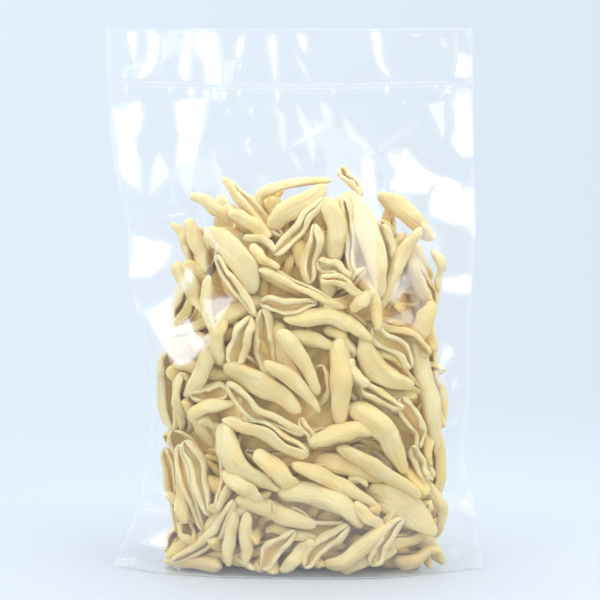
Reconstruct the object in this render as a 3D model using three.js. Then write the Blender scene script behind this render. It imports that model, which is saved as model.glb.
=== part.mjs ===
// A clear sealed pouch of strascinati, long hand-dragged semolina shells, standing on its own flattened bottom.
// Millimetres, +Z up. The origin is the middle of the footprint, on the surface that the pouch stands on;
// -Y is the front and +X is the right-hand side seen from the front.
// The pouch is one closed solid: a full belly that follows the pasta inside, thin side fins out to the two welded
// side seams, ears where the bottom corners stick out along the table, and a flat, wavy header above the pasta.

import * as THREE from "three";

// ---------------------------------------------------------------- driving dimensions

const POUCH_HEIGHT = 292; // from the table to the top edge of the header
const HALF_WIDTH = 100; // half of the flat width of the pouch, seam to seam
const SEAL_HEIGHT = 263; // height of the welded line across the header
const FILM_HALF = 0.6; // half of the thickness given to the two films where they lie together

const LEFT_EDGE = -71; // where the pasta ends at the left, and at the right, below its shoulders
const RIGHT_EDGE = 83;
const SHOULDER_DRAW = 9; // how far both ends have drawn in where the belly closes at the weld
const BELLY_HALF_DEPTH = 33; // half of the depth of the filled part at its fullest
const BELLY_ROUNDNESS = 0.6; // power of the curve from the belly's ends to its middle
const LUMP_HEIGHT = 1.6; // how far one shell pushes the film out
const LUMP_LENGTH = 44; // length and width of the lumps, as long and wide as the shells
const LUMP_WIDTH = 13;
const LUMPS_PER_SIDE = 90;
const LUMP_FADE = 0.16; // share of the belly's half width over which lumps die out at its edge

const WAVE_HEIGHT = 3.2; // of the header's ripples, from the middle plane
const WAVE_LENGTH = 41; // of the main ripple, which runs straight up the header
const SIDE_WAVE_LENGTH = 24; // of the finer ripple, which leans over
const SIDE_WAVE_SHARE = 0.35; // of the wave height that the finer ripple has
const SIDE_WAVE_LEAN = -0.064; // how far it leans, across for each millimetre up
const WAVE_START = 205; // height at which the ripples begin

const FIN_STEPS = 3; // steps across one side fin, and across the belly
const BELLY_STEPS = 34;
const ROWS_IN_FOOT = 4; // steps up the rounded foot, and up the rest
const ROWS_ABOVE_FOOT = 50;
const FOOT_HEIGHT = 10;

// ---------------------------------------------------------------- profiles against height

// A smooth curve through [height, value] pairs, read at one height.
function profile(pairs) {
  const last = pairs.length - 1;
  const slopes = pairs.map((_, i) => {
    const [z0, v0] = pairs[Math.max(i - 1, 0)];
    const [z1, v1] = pairs[Math.min(i + 1, last)];
    return (v1 - v0) / (z1 - z0);
  });
  return (z) => {
    const at = THREE.MathUtils.clamp(z, pairs[0][0], pairs[last][0]);
    const above = pairs.findIndex(([height]) => height > at);
    const k = above < 0 ? last - 1 : above - 1;
    const span = pairs[k + 1][0] - pairs[k][0];
    const t = (at - pairs[k][0]) / span;
    const bend0 = slopes[k] * span;
    const bend1 = slopes[k + 1] * span;
    return (
      (2 * t ** 3 - 3 * t ** 2 + 1) * pairs[k][1] +
      (t ** 3 - 2 * t ** 2 + t) * bend0 +
      (3 * t ** 2 - 2 * t ** 3) * pairs[k + 1][1] +
      (t ** 3 - t ** 2) * bend1
    );
  };
}

// The side seams draw in where the belly is fullest and run out again into the ears at the table.
const leftSeam = profile([
  [0, -HALF_WIDTH],
  [8, -96],
  [30, -84],
  [70, -78],
  [120, -80],
  [165, -88],
  [225, -98],
  [POUCH_HEIGHT, -HALF_WIDTH],
]);
const rightSeam = profile([
  [0, HALF_WIDTH],
  [8, HALF_WIDTH - 1],
  [30, 97],
  [70, 93],
  [120, 93],
  [165, 96],
  [225, 99],
  [POUCH_HEIGHT, HALF_WIDTH],
]);

// The two ends of the belly: straight up the pasta, then in over its shoulders.
const shoulder = profile([
  [0, 0],
  [150, 0],
  [SEAL_HEIGHT, SHOULDER_DRAW],
  [POUCH_HEIGHT, SHOULDER_DRAW],
]);

// How much of its full depth the belly has at each height: a flat foot, a full middle, nothing at the weld.
const depthShare = profile([
  [0, 0.8],
  [3, 0.9],
  [FOOT_HEIGHT, 0.97],
  [60, 1],
  [130, 0.98],
  [180, 0.86],
  [208, 0.62],
  [232, 0.28],
  [SEAL_HEIGHT - 6, 0.03],
  [SEAL_HEIGHT, 0],
  [POUCH_HEIGHT, 0],
]);

// The belly is boxy at the foot, where the pasta settles, and lens-shaped above.
const boxiness = profile([
  [0, 3.6],
  [60, 2.9],
  [200, 2.3],
  [POUCH_HEIGHT, 2],
]);

// ---------------------------------------------------------------- lumps and ripples

// Evenly scattered numbers from 0 to 1, the same on every run.
const scatter = (i, base) => {
  let share = 1 / base;
  let sum = 0;
  for (let n = i; n > 0; n = Math.floor(n / base)) {
    sum += (n % base) * share;
    share /= base;
  }
  return sum;
};

// One face's lumps: where each shell lies under the film, and which way it points.
function lumpsOfFace(first) {
  return Array.from({ length: LUMPS_PER_SIDE }, (_, i) => {
    const turn = scatter(first + i, 5) * Math.PI;
    return {
      x: LEFT_EDGE + (RIGHT_EDGE - LEFT_EDGE) * scatter(first + i, 2),
      z: WAVE_START * scatter(first + i, 3),
      along: [Math.cos(turn), Math.sin(turn)],
    };
  });
}

// The film's height over its nearest shell, with the rounded top of a spindle.
function lumpHeight(lumps, x, z) {
  const reach = lumps.map((lump) => {
    const along = (x - lump.x) * lump.along[0] + (z - lump.z) * lump.along[1];
    const across = (z - lump.z) * lump.along[0] - (x - lump.x) * lump.along[1];
    return 1 - (2 * along / LUMP_LENGTH) ** 2 - (2 * across / LUMP_WIDTH) ** 2;
  });
  return LUMP_HEIGHT * Math.sqrt(Math.max(0, ...reach));
}

// The header's ripples, which grow from the pasta to the free top edge.
function ripple(x, z) {
  const rise = THREE.MathUtils.smoothstep(z, WAVE_START, POUCH_HEIGHT);
  const main = Math.sin(2 * Math.PI * (x - LEFT_EDGE) / WAVE_LENGTH);
  const side = Math.sin(2 * Math.PI * (x - RIGHT_EDGE + SIDE_WAVE_LEAN * z) / SIDE_WAVE_LENGTH);
  return WAVE_HEIGHT * rise * THREE.MathUtils.lerp(main, side, SIDE_WAVE_SHARE);
}

// ---------------------------------------------------------------- the pouch

const frontLumps = lumpsOfFace(1);
const backLumps = lumpsOfFace(1 + LUMPS_PER_SIDE);

// Where the columns of points stand: each is a share of the left fin, of the belly from -1 to 1, or of the right fin.
const stations = [
  ...Array.from({ length: FIN_STEPS }, (_, i) => ({ part: "left", share: i / FIN_STEPS })),
  ...Array.from({ length: BELLY_STEPS + 1 }, (_, i) => ({
    part: "belly",
    share: Math.sin(Math.PI * (i / BELLY_STEPS - 0.5)),
  })),
  ...Array.from({ length: FIN_STEPS }, (_, i) => ({ part: "right", share: (i + 1) / FIN_STEPS })),
];

// A point of one film at one station and height: side is -1 on the front and +1 on the back.
function filmPoint(side, { part, share }, z) {
  const left = LEFT_EDGE + shoulder(z);
  const right = RIGHT_EDGE - shoulder(z);
  if (part === "left") {
    const x = THREE.MathUtils.lerp(leftSeam(z), left, share);
    return [x, side * FILM_HALF + ripple(x, z), z];
  }
  if (part === "right") {
    const x = THREE.MathUtils.lerp(right, rightSeam(z), share);
    return [x, side * FILM_HALF + ripple(x, z), z];
  }
  const x = (left + right) / 2 + (share * (right - left)) / 2;
  const across = Math.min(Math.abs(share), 1);
  const belly = BELLY_HALF_DEPTH * Math.max(depthShare(z), 0) * (1 - across ** boxiness(z)) ** BELLY_ROUNDNESS;
  const fade =
    THREE.MathUtils.smoothstep(1 - across, 0, LUMP_FADE) * Math.min(belly / BELLY_HALF_DEPTH, z / FOOT_HEIGHT);
  const lump = fade * lumpHeight(side < 0 ? frontLumps : backLumps, x, z);
  return [x, side * (belly + lump + FILM_HALF) + ripple(x, z), z];
}

function sealedPouch() {
  const heights = [
    ...Array.from({ length: ROWS_IN_FOOT }, (_, i) => (FOOT_HEIGHT * i) / ROWS_IN_FOOT),
    ...Array.from(
      { length: ROWS_ABOVE_FOOT + 1 },
      (_, i) => FOOT_HEIGHT + ((POUCH_HEIGHT - FOOT_HEIGHT) * i) / ROWS_ABOVE_FOOT,
    ),
  ];
  const ringSize = 2 * stations.length;
  const points = heights.flatMap((z) => [
    ...stations.map((station) => filmPoint(-1, station, z)),
    ...stations.toReversed().map((station) => filmPoint(1, station, z)),
  ]);
  const faces = [];
  const quad = (a, b, c, d) => faces.push(a, b, c, a, c, d);
  for (let row = 0; row + 1 < heights.length; row += 1) {
    for (let i = 0; i < ringSize; i += 1) {
      const next = (i + 1) % ringSize;
      quad(row * ringSize + i, row * ringSize + next, (row + 1) * ringSize + next, (row + 1) * ringSize + i);
    }
  }
  const top = (heights.length - 1) * ringSize;
  for (let i = 0; i + 1 < stations.length; i += 1) {
    const opposite = ringSize - 1 - i;
    quad(i, opposite, opposite - 1, i + 1);
    quad(top + i, top + i + 1, top + opposite - 1, top + opposite);
  }
  const geometry = new THREE.BufferGeometry();
  geometry.setAttribute("position", new THREE.Float32BufferAttribute(points.flat(), 3));
  geometry.setIndex(faces);
  geometry.computeBoundingBox();
  const middle = geometry.boundingBox.getCenter(new THREE.Vector3()); // the front's lumps differ from the back's
  geometry.translate(-middle.x, -middle.y, 0);
  geometry.computeVertexNormals();
  return geometry;
}

const pouch = new THREE.Mesh(
  sealedPouch(),
  new THREE.MeshStandardMaterial({ color: 0xe8d7a6, roughness: 0.6, metalness: 0 }),
);
pouch.name = "pouch";

const strascinatiPouch = new THREE.Group();
strascinatiPouch.add(pouch);

export default strascinatiPouch;
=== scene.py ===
import math

import bpy
import numpy as np
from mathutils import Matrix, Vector


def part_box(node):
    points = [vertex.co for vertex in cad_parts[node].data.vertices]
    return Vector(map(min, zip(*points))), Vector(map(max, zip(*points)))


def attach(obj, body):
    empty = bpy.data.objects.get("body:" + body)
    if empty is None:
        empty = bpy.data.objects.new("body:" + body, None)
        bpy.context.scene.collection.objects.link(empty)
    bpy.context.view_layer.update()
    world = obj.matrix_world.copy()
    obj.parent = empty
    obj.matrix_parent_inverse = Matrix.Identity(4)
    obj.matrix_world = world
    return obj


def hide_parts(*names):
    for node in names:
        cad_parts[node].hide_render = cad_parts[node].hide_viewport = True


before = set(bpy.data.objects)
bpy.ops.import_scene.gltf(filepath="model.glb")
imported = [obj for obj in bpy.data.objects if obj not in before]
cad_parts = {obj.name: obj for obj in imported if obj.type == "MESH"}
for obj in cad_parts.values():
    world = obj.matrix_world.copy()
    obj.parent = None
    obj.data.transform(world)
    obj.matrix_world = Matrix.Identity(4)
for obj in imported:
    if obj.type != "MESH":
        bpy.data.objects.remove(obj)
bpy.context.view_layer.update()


# The studio: a camera that looks nearly level at the pouch, two tall softboxes in front, one on each side,
# which the film mirrors as its white patches, and a broad light above. The table and the air come last.
PHOTO_SIDE = 600
PIXELS_PER_METRE = 1850
AXIS_PIXEL = 292
TABLE_PIXEL = 570
CAMERA_DISTANCE = 1.15
CAMERA_AZIMUTH = math.radians(1.5)
CAMERA_ELEVATION = math.radians(4.0)

view_half = PHOTO_SIDE / 2 / PIXELS_PER_METRE
aim = np.array([PHOTO_SIDE / 2 - AXIS_PIXEL, 0, TABLE_PIXEL - PHOTO_SIDE / 2]) / PIXELS_PER_METRE
towards_camera = np.array([
    math.sin(CAMERA_AZIMUTH) * math.cos(CAMERA_ELEVATION),
    -math.cos(CAMERA_AZIMUTH) * math.cos(CAMERA_ELEVATION),
    math.sin(CAMERA_ELEVATION),
])
eye = aim + towards_camera * CAMERA_DISTANCE
camera = bpy.data.objects.new("camera", bpy.data.cameras.new("camera"))
camera.location = eye
camera.rotation_euler = Vector(-towards_camera).to_track_quat("-Z", "Y").to_euler()
camera.data.lens = camera.data.sensor_width / 2 * CAMERA_DISTANCE / view_half
camera.data.clip_end = 40
bpy.context.collection.objects.link(camera)
bpy.context.scene.camera = camera
bpy.context.scene.view_settings.view_transform = "Standard"

SOFTBOX_RADIANCE = 1.8
SOFTBOX_SIZE = (0.42, 0.95)
SOFTBOX_DISTANCE = 1.5
SOFTBOX_AZIMUTH = math.radians(42)
SOFTBOX_ELEVATION = math.radians(30)
SOFTBOX_AIM = Vector((0, 0, 0.14))
TOP_LIGHT_RADIANCE = 2.1
TOP_LIGHT_SIZE = (0.5, 0.4)
TOP_LIGHT_PLACE = Vector((0.16, -0.18, 0.72))
TOP_LIGHT_WAY = Vector((0.12, -0.22, 0.54))
LIGHT_COLOUR = (1, 0.97, 0.93)


def add_light(name, radiance, size, place, way):
    """A rectangular light at this place, which lies this way from what it shines on."""
    light = bpy.data.lights.new(name, "AREA")
    light.shape = "RECTANGLE"
    light.size, light.size_y = size
    light.energy = radiance * math.pi * size[0] * size[1]
    light.color = LIGHT_COLOUR
    holder = bpy.data.objects.new(name, light)
    holder.location = place
    holder.rotation_euler = way.to_track_quat("Z", "Y").to_euler()
    bpy.context.collection.objects.link(holder)
    return holder


softboxes = {}
for name, side in (("left_softbox", -1), ("right_softbox", 1)):
    way = Vector((
        side * math.sin(SOFTBOX_AZIMUTH) * math.cos(SOFTBOX_ELEVATION),
        -math.cos(SOFTBOX_AZIMUTH) * math.cos(SOFTBOX_ELEVATION),
        math.sin(SOFTBOX_ELEVATION),
    ))
    place = SOFTBOX_AIM + way * SOFTBOX_DISTANCE
    softboxes[side] = add_light(name, SOFTBOX_RADIANCE, SOFTBOX_SIZE, place, way)
add_light("top_light", TOP_LIGHT_RADIANCE, TOP_LIGHT_SIZE, TOP_LIGHT_PLACE, TOP_LIGHT_WAY)

camera_right = np.cross(-towards_camera, [0, 0, 1])
camera_right /= np.linalg.norm(camera_right)
camera_up = np.cross(camera_right, -towards_camera)


def seen_at(pixel_x, pixel_y, depth):
    """The point at this depth, y, that the photograph shows at this pixel."""
    across = (pixel_x - PHOTO_SIDE / 2) / PIXELS_PER_METRE / CAMERA_DISTANCE
    up = (PHOTO_SIDE / 2 - pixel_y) / PIXELS_PER_METRE / CAMERA_DISTANCE
    ray = -towards_camera + camera_right * across + camera_up * up
    return eye + ray * ((depth - eye[1]) / ray[1])


# The room that the pasta has in the pouch: a deep, boxy belly that stands flat on the table, draws in over
# its shoulders and thins out towards the weld, a film's thickness smaller than the solid it stands for.
BELLY_LEFT = -0.071
BELLY_RIGHT = 0.083
BELLY_HALF_DEPTH = 0.0325
SHOULDER_START = 0.150
SHOULDER_DRAW = 0.009
WELD_HEIGHT = 0.263
TABLE_GAP = 0.0006
DEPTH_SHARES = (  # height, and the share of the full depth there
    (0, 0.80), (0.003, 0.90), (0.010, 0.97), (0.060, 1.00), (0.130, 0.98),
    (0.180, 0.86), (0.208, 0.62), (0.232, 0.28), (0.257, 0.03), (WELD_HEIGHT, 0),
)
BOX_POWERS = ((0, 3.6), (0.060, 2.9), (0.200, 2.3), (WELD_HEIGHT, 2))
BELLY_ROUNDNESS = 0.6


def belly_half_depth(x, z):
    """How far the belly reaches to the front and to the back, at these places seen from the front."""
    draw = SHOULDER_DRAW * np.clip((z - SHOULDER_START) / (WELD_HEIGHT - SHOULDER_START), 0, 1)
    middle = (BELLY_LEFT + BELLY_RIGHT) / 2
    across = np.clip(np.abs(x - middle) / ((BELLY_RIGHT - BELLY_LEFT) / 2 - draw), 0, 1)
    share = np.interp(z, *zip(*DEPTH_SHARES))
    power = np.interp(z, *zip(*BOX_POWERS))
    return BELLY_HALF_DEPTH * share * (1 - across**power) ** BELLY_ROUNDNESS


# The strascinati: rods of semolina dough, each dragged across the board into a leaf whose long edges curl
# in to thick lips, then dried hard. Most are 27 to 48 mm long, and no two are alike. Those against the front
# film lie as in the photograph, which gives both tips of each; the rest are poured in behind.
SHELL_LENGTHS = (0.034, 0.046)
SHELL_WIDTHS = (0.0090, 0.0125)
WALL = 0.0026
BOW_ROUND = 0.3
LOOSE_SHELLS = 385
LAYER_DEPTH = 0.0085
LEAF_CURL = 255
CLOSED_CURL = 320

# Each row: both tips in photograph pixels, then the width in pixels; the roll in degrees, 0 with the smooth
# back to the front and 180 with the slit; the bow in pixels to the left of the way from tip to tip; the curl
# in degrees; and how many shells lie in front of it.
FRONT_SHELLS = (
    # the top of the heap
    (191, 195, 231, 222, 15, 0, 1, 335, 1),
    (283, 237, 221, 177, 17, 130, 2, 312, 0),
    (229, 211, 270, 238, 13, 10, 2, 335, 0),
    (252, 203, 331, 180, 12, 20, 4, 335, 2),
    (270, 226, 327, 186, 20, 0, 3, 215, 1),
    (340, 166, 362, 196, 14, -150, 0, 318, 1),
    (328, 196, 337, 263, 24, 30, 2, 250, 0),
    (378, 194, 434, 239, 20, 0, 7, 240, 1),
    (352, 194, 380, 298, 22, 0, 4, 272, 0),
    (345, 196, 352, 272, 16, 160, 3, 308, 1),
    (425, 227, 373, 310, 16, -20, -4, 325, 0),
    (385, 224, 398, 275, 10, 40, 0, 340, 1),
    (404, 232, 381, 290, 11, -60, 0, 340, 1),
    (432, 248, 438, 292, 11, 60, 0, 335, 1),
    (186, 219, 205, 272, 17, 0, 0, 240, 0),
    (170, 223, 193, 262, 11, 30, 0, 335, 1),
    (205, 228, 256, 292, 29, 0, 8, 165, 0),
    (246, 235, 275, 252, 12, -120, 5, 300, 1),
    (252, 243, 280, 268, 12, 0, 2, 335, 0),
    (215, 255, 255, 316, 15, 150, -2, 318, 0),
    (276, 254, 326, 196, 15, -170, 3, 304, 1),
    (309, 284, 316, 224, 18, 180, 0, 292, 0),
    (317, 262, 352, 276, 17, 160, 4, 282, 0),
    (322, 276, 362, 297, 13, -150, 4, 308, 0),
    # the upper middle
    (258, 268, 344, 309, 14, -120, 4, 318, 0),
    (261, 302, 318, 304, 19, 175, 2, 272, 0),
    (284, 318, 372, 338, 21, 15, 10, 282, 0),
    (290, 336, 340, 345, 16, 0, 2, 325, 1),
    (350, 309, 374, 291, 13, 20, 0, 335, 0),
    (190, 274, 206, 318, 13, 30, 0, 335, 0),
    (206, 276, 218, 336, 12, -40, 0, 335, 0),
    (176, 262, 196, 300, 15, -10, 0, 282, 1),
    (224, 318, 220, 364, 17, -10, 0, 335, 0),
    (231, 366, 253, 317, 19, -175, 2, 300, 0),
    (277, 380, 262, 309, 24, -170, 4, 282, 0),
    (279, 329, 319, 394, 17, -10, 2, 335, 0),
    (264, 360, 319, 412, 18, 0, 3, 335, 0),
    (225, 362, 300, 414, 24, 0, 2, 272, 0),
    (338, 338, 341, 428, 24, 0, 0, 282, 0),
    (324, 325, 357, 358, 14, 10, 2, 335, 1),
    (350, 358, 368, 384, 12, 0, 0, 335, 1),
    (360, 336, 414, 388, 28, 0, -9, 215, 0),
    (372, 324, 413, 364, 20, 165, 2, 282, 1),
    (414, 338, 441, 448, 20, 0, 6, 290, 0),
    (432, 372, 449, 424, 12, 30, 2, 335, 1),
    # the left and the middle
    (163, 349, 176, 430, 22, 180, 0, 290, 1),
    (212, 342, 187, 399, 17, 0, 0, 335, 0),
    (227, 393, 188, 392, 20, -178, 2, 268, 0),
    (186, 414, 236, 401, 14, 0, -1, 340, 0),
    (200, 420, 224, 427, 12, 0, 0, 335, 1),
    (227, 383, 306, 430, 20, 150, -5, 325, 1),
    (309, 455, 222, 419, 20, 140, -2, 325, 0),
    (219, 424, 280, 491, 24, 0, -10, 272, 0),
    (343, 378, 360, 409, 17, 178, 0, 272, 1),
    (361, 384, 405, 407, 17, 165, 0, 300, 0),
    (350, 404, 407, 474, 26, 0, 12, 272, 0),
    (402, 396, 420, 448, 21, 175, 0, 290, 0),
    (310, 440, 374, 431, 18, 0, 2, 335, 0),
    (255, 449, 298, 487, 19, 0, 3, 335, 0),
    (300, 418, 316, 446, 12, 160, 0, 318, 1),
    (405, 447, 434, 477, 15, -150, 0, 308, 1),
    (437, 396, 451, 424, 11, 0, 0, 335, 1),
    # the rosette of nested open shells at the lower left
    (172, 446, 205, 529, 17, 175, -4, 290, 0),
    (180, 441, 211, 514, 18, 170, 5, 288, 0),
    (175, 429, 213, 522, 34, 178, 10, 250, 1),
    (160, 448, 188, 532, 17, 150, -6, 300, 1),
    # the lower right and the foot
    (337, 448, 425, 495, 18, -25, 3, 325, 0),
    (352, 446, 392, 474, 15, -150, 3, 296, 1),
    (292, 462, 376, 507, 17, 0, 3, 335, 0),
    (345, 488, 368, 482, 12, 20, 0, 335, 1),
    (365, 488, 440, 534, 31, 0, 6, 215, 0),
    (277, 490, 363, 527, 26, 10, 7, 272, 0),
    (224, 469, 262, 500, 16, 0, 0, 335, 0),
    (236, 497, 316, 524, 17, 0, -1, 325, 0),
    (355, 500, 384, 528, 12, 0, 0, 335, 1),
    (165, 559, 238, 501, 18, 160, -8, 300, 0),
    (190, 558, 244, 512, 20, 0, 3, 290, 1),
    (230, 510, 230, 567, 13, 20, 0, 335, 0),
    (247, 512, 243, 566, 13, -20, 0, 335, 0),
    (262, 568, 296, 530, 19, 175, 8, 282, 0),
    (281, 566, 318, 540, 15, 0, 0, 335, 1),
    (300, 565, 347, 524, 18, 170, 0, 300, 0),
    (326, 568, 386, 524, 18, 0, 0, 335, 0),
    (372, 566, 402, 518, 17, 170, 0, 300, 0),
    (340, 570, 396, 550, 14, 0, 0, 335, 1),
    (396, 560, 447, 556, 15, 10, -4, 335, 0),
    (412, 530, 444, 566, 17, 20, 4, 325, 1),
    (410, 446, 430, 480, 15, 170, 0, 300, 0),
    (422, 480, 446, 530, 14, 0, 4, 335, 1),
)

rng = np.random.default_rng(7)
CORNER = math.sqrt(1 + BOW_ROUND**2)


def bow_share(run):
    """How much of its bow a shell has at each place from its first tip, -1, to its second, 1."""
    return (CORNER - np.sqrt(run**2 + BOW_ROUND**2)) / (CORNER - BOW_ROUND)


def unit(vectors):
    """These vectors with a length of 1."""
    return vectors / np.linalg.norm(vectors, axis=-1, keepdims=True)


def frame_of(along, outward):
    """Each shell's three directions: from tip to tip, across it, and out of its back."""
    along = unit(along)
    outward = unit(outward - along * np.sum(along * outward, axis=-1, keepdims=True))
    return np.stack([along, np.cross(outward, along), outward], axis=1)


def shell_table(count):
    """What makes up the shape of each of so many shells, all still 0."""
    names = "length width curl bow_across bow_out gape twist full lean wave buried seed".split()
    return {name: np.zeros(count) for name in names}


LOWEST_MIDDLE = 0.004
LEAST_BOW = 0.0006
front = shell_table(len(FRONT_SHELLS))
front_middle = np.zeros((len(FRONT_SHELLS), 3))
front_frame = np.zeros((len(FRONT_SHELLS), 3, 3))
for n, (x1, y1, x2, y2, width, roll, bow, curl, behind) in enumerate(FRONT_SHELLS):
    guess = seen_at((x1 + x2) / 2, (y1 + y2) / 2, -BELLY_HALF_DEPTH)
    depth = -float(belly_half_depth(guess[0], max(guess[2], LOWEST_MIDDLE)))
    depth = min(depth + width / PIXELS_PER_METRE / 2 + behind * LAYER_DEPTH, 0)
    first, second = seen_at(x1, y1, depth), seen_at(x2, y2, depth)
    along = unit(second - first)
    facing = unit(towards_camera - along * np.dot(along, towards_camera))
    left = np.cross(facing, along)
    turn = math.radians(roll)
    outward = facing * math.cos(turn) + left * math.sin(turn)
    front_frame[n] = frame_of(along[None], outward[None])[0]
    bow_way = left * bow / PIXELS_PER_METRE
    front["length"][n] = np.linalg.norm(second - first)
    front["width"][n] = width / PIXELS_PER_METRE
    front["curl"][n] = math.radians(curl)
    front["bow_across"][n] = bow_way @ front_frame[n, 1]
    front["bow_out"][n] = bow_way @ front_frame[n, 2] + LEAST_BOW
    front_middle[n] = (first + second) / 2

# The loose ones: the curls that they are drawn from in degrees, how much wider a leaf is, and the mean and
# the spread of their bows.
LOOSE_CURLS = (345, 340, 335, 325, 315, 300, 285, 240)
LEAF_EXTRA_WIDTH = 0.0025
BOWS_ACROSS = (0, 0.0018)
BOWS_OUT = (0.0008, 0.0012)
loose = shell_table(LOOSE_SHELLS)
loose["length"] = rng.uniform(*SHELL_LENGTHS, LOOSE_SHELLS)
loose["width"] = rng.uniform(*SHELL_WIDTHS, LOOSE_SHELLS)
loose["curl"] = np.radians(rng.choice(LOOSE_CURLS, LOOSE_SHELLS))
loose["width"] += np.where(loose["curl"] < np.radians(LEAF_CURL), LEAF_EXTRA_WIDTH, 0)
loose["bow_across"] = rng.normal(*BOWS_ACROSS, LOOSE_SHELLS)
loose["bow_out"] = rng.normal(*BOWS_OUT, LOOSE_SHELLS)

# Where they are scattered at first: inside the heap's outline as the front shows it, clear of its edge, of
# the film and of the front shells. They lie flatter than chance would have it.
SCATTER_LOW, SCATTER_HIGH = 0.006, 0.21
SCATTER_TRIES = 4000
EDGE_MARGIN = 0.006
FILM_MARGIN = 0.004
FRONT_MARGIN = 0.0085
UPRIGHTNESS = 0.35
HEAP_TOP = (
    (-0.071, 0.176), (-0.055, 0.194), (-0.03, 0.203), (0.03, 0.207), (0.06, 0.196), (0.083, 0.172),
)
HEAP_LEFT = ((0, -0.069), (0.13, -0.070), (0.15, -0.066), (0.17, -0.058), (0.19, -0.056), (0.21, -0.050))
HEAP_RIGHT = ((0, 0.081), (0.10, 0.084), (0.13, 0.080), (0.16, 0.077), (0.19, 0.074), (0.21, 0.060))


def outside_heap(x, z):
    """How far these places lie past the left or the right side of the heap; negative inside it."""
    return np.maximum(np.interp(z, *zip(*HEAP_LEFT)) - x, x - np.interp(z, *zip(*HEAP_RIGHT)))


scatter_from, scatter_to = [BELLY_LEFT, -1, SCATTER_LOW], [BELLY_RIGHT, 1, SCATTER_HIGH]
tries = rng.uniform(scatter_from, scatter_to, (SCATTER_TRIES, 3))
tries[:, 1] *= BELLY_HALF_DEPTH
room = belly_half_depth(tries[:, 0], tries[:, 2]) - FILM_MARGIN
fits = (np.abs(tries[:, 1]) < room) & (tries[:, 1] > FRONT_MARGIN - room)
fits &= tries[:, 2] < np.interp(tries[:, 0], *zip(*HEAP_TOP)) - EDGE_MARGIN
fits &= outside_heap(tries[:, 0], tries[:, 2]) < -EDGE_MARGIN
loose_middle = tries[fits][:LOOSE_SHELLS]
loose_along = rng.normal(0, [1, UPRIGHTNESS, 1], (LOOSE_SHELLS, 3))
loose_frame = frame_of(loose_along, rng.normal(0, 1, (LOOSE_SHELLS, 3)))

# What differs from shell to shell: how far one end gapes more than the other, the twist in radians, how
# full the shell stays towards its tips, how far its thickest place lies off the middle, and how wavy its
# lips are.
GAPES, CLOSED_GAPE_SHARE = (0.06, 0.18), 0.5
TWISTS = (0, 0.3)
FULLNESSES = (1.7, 3.3)
LEANS = (0.1, 0.42)
WAVES = (0.05, 0.16)
shells = {name: np.concatenate([front[name], loose[name]]) for name in front}
count = len(shells["length"])
is_front = np.arange(count) < len(FRONT_SHELLS)
is_closed = shells["curl"] > np.radians(CLOSED_CURL)
is_leaf = shells["curl"] < np.radians(LEAF_CURL)
shells["gape"] = rng.uniform(*GAPES, count) * np.where(is_closed, CLOSED_GAPE_SHARE, 1)
shells["twist"] = rng.normal(*TWISTS, count)
shells["full"] = rng.uniform(*FULLNESSES, count)
shells["lean"] = rng.uniform(*LEANS, count)
open_end = np.where(is_front, 1, rng.choice([-1, 1], count))
shells["gape"] *= open_end
shells["lean"] *= open_end
shells["wave"] = rng.uniform(*WAVES, count)
shells["seed"] = rng.uniform(0, 100, count)
middle = np.concatenate([front_middle, loose_middle])
turned = np.concatenate([front_frame, loose_frame])

# Poured and shaken down: each shell is a stiff row of balls that push each other, the film and the table
# away, the less the more they touch. The loose shells fall a little at each shake. The shells that the
# photograph shows are drawn back to their places there, but may move in depth and are brought forward.
STATIONS = np.array([-0.88, -0.62, -0.32, 0, 0.32, 0.62, 0.88])
SIDES = np.array([-1, 0, 1])
SHAKES = 230
LISTED_EVERY = 8
NEIGHBOUR_GAP = 0.012
SLOPE_STEP = 0.0005
DEEPEST_PUSH = 0.004
FIRMNESS = 0.7
CALMING = 0.65
FALL = 0.00012
FORWARD = 0.0001
FIRM_HOLD, LOOSE_HOLD, FIRM_SHARE = 0.28, 0.15, 0.8
MOST_TURN = 0.15
LEAF_THICKNESS, SHELL_THICKNESS = 0.62, 0.8
thick = shells["width"] * np.where(is_leaf, LEAF_THICKNESS, SHELL_THICKNESS)
swell = (1 - np.abs(STATIONS) ** 2.5) ** 0.6
ball_radius = thick[:, None] / 2 * swell
spread = (shells["width"] - thick)[:, None] / 2 * swell
local = np.zeros((count, len(STATIONS), len(SIDES), 3))
local[..., 0] = (shells["length"][:, None] / 2 * STATIONS)[..., None]
local[..., 1] = spread[..., None] * SIDES + (shells["bow_across"][:, None] * bow_share(STATIONS))[..., None]
local[..., 2] = (shells["bow_out"][:, None] * bow_share(STATIONS))[..., None]
home, home_frame = middle.copy(), turned.copy()
inertia = shells["length"] ** 2 / 12
reach = ball_radius + spread


def push(body, arm, way, amount):
    """Adds up, for each shell, the shift and the turn that its touches ask for."""
    for axis in range(3):
        shift[:, axis] += np.bincount(body, way[:, axis] * amount, count)
    turn = np.cross(arm, way) * amount[:, None] / inertia[body][:, None]
    for axis in range(3):
        spin[:, axis] += np.bincount(body, turn[:, axis], count)
    touches[:] += np.bincount(body, minlength=count)


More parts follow.
